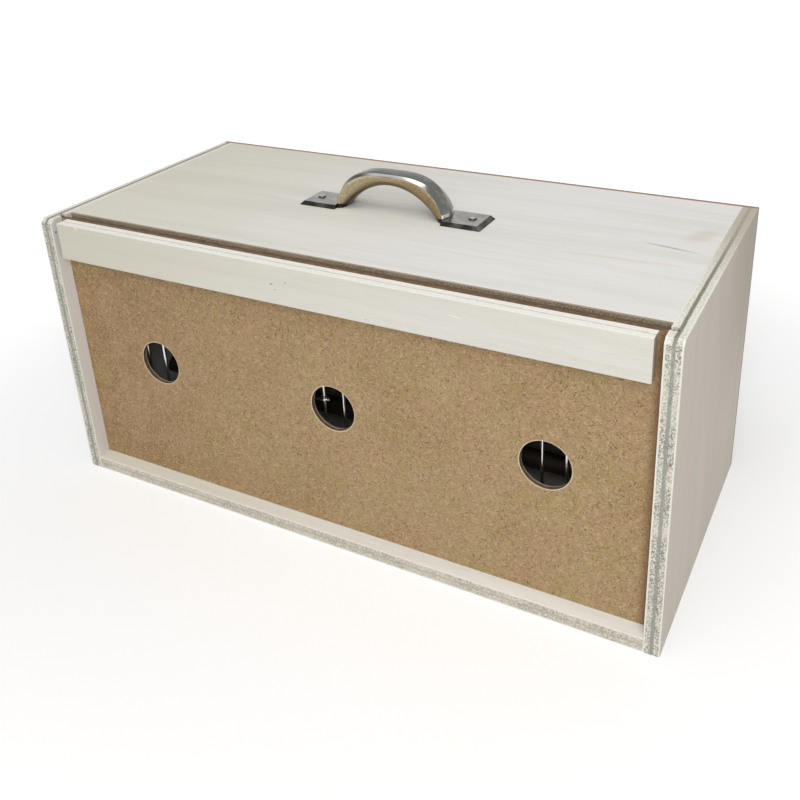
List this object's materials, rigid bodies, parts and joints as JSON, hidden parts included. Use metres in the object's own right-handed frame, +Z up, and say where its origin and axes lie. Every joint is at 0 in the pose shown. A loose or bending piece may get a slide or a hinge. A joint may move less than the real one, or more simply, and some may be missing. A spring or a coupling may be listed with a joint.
{
  "type": "wooden transport cage",
  "caption": "Small plywood bird transport cage with a wire front and wire door, a vented shutter that slides up out of side grooves, and a metal bow handle on the roof.",
  "frame": {"origin": "middle of the underside, below the centre of the box", "axes": "+X along the front to the right, +Y from the shutter to the back panel, +Z up through the roof"},
  "size_m": [0.4, 0.183, 0.2092],
  "materials": {
    "side_plywood": "pale bare poplar plywood",
    "roof_plywood": "pale bare poplar plywood",
    "floor_plywood": "pale bare poplar plywood",
    "batten_plywood": "pale bare poplar plywood",
    "fibreboard": "smooth brown fibreboard",
    "hardboard": "dark brown hardboard",
    "perch_wood": "turned beech",
    "handle_metal": "antique nickel on cast metal",
    "screw_metal": "nickel-plated steel",
    "staple_steel": "bright steel",
    "wire_steel": "bright galvanised wire"
  },
  "bodies": {
    "carcass": {"back_panel": "hardboard", "back_panel_staples": "staple_steel", "bow_handle": "handle_metal", "door_header_wire": "wire_steel", "floor_panel": "floor_plywood", "front_bar_01": "wire_steel", "front_bar_02": "wire_steel", "front_bar_03": "wire_steel", "front_bar_04": "wire_steel", "front_bar_05": "wire_steel", "front_bar_06": "wire_steel", "front_bar_07": "wire_steel", "front_bar_08": "wire_steel", "front_bar_09": "wire_steel", "front_bar_10": "wire_steel", "front_bar_11": "wire_steel", "front_bar_12": "wire_steel", "front_bar_13": "wire_steel", "front_bar_14": "wire_steel", "front_bar_15": "wire_steel", "front_bar_16": "wire_steel", "front_bar_17": "wire_steel", "front_bar_18": "wire_steel", "front_bar_19": "wire_steel", "front_bar_20": "wire_steel", "front_bar_21": "wire_steel", "front_bar_22": "wire_steel", "front_bar_23": "wire_steel", "front_bar_24": "wire_steel", "front_bar_25": "wire_steel", "front_bar_26": "wire_steel", "front_bar_27": "wire_steel", "handle_screws": "screw_metal", "lower_cross_wire_left": "wire_steel", "lower_cross_wire_right": "wire_steel", "perch": "perch_wood", "roof_panel": "roof_plywood", "side_panel_left": "side_plywood", "side_panel_right": "side_plywood", "upper_cross_wire_left": "wire_steel", "upper_cross_wire_right": "wire_steel"},
    "shutter": {"shutter_board": "fibreboard", "shutter_batten": "batten_plywood", "batten_staples": "staple_steel"},
    "wire_door": {"door_bar_1": "wire_steel", "door_bar_2": "wire_steel", "door_bar_3": "wire_steel", "door_bar_4": "wire_steel", "door_bar_5": "wire_steel", "door_bottom_wire": "wire_steel", "door_top_wire": "wire_steel"}
  },
  "joints": [
    {"name": "shutter_slide", "type": "slide", "parent": "carcass", "child": "shutter", "axis": [0, 0, 1], "range_m": [0, 0.18]},
    {"name": "door_slide", "type": "slide", "parent": "carcass", "child": "wire_door", "axis": [0, 0, 1], "range_m": [0, 0.0744]}
  ]
}
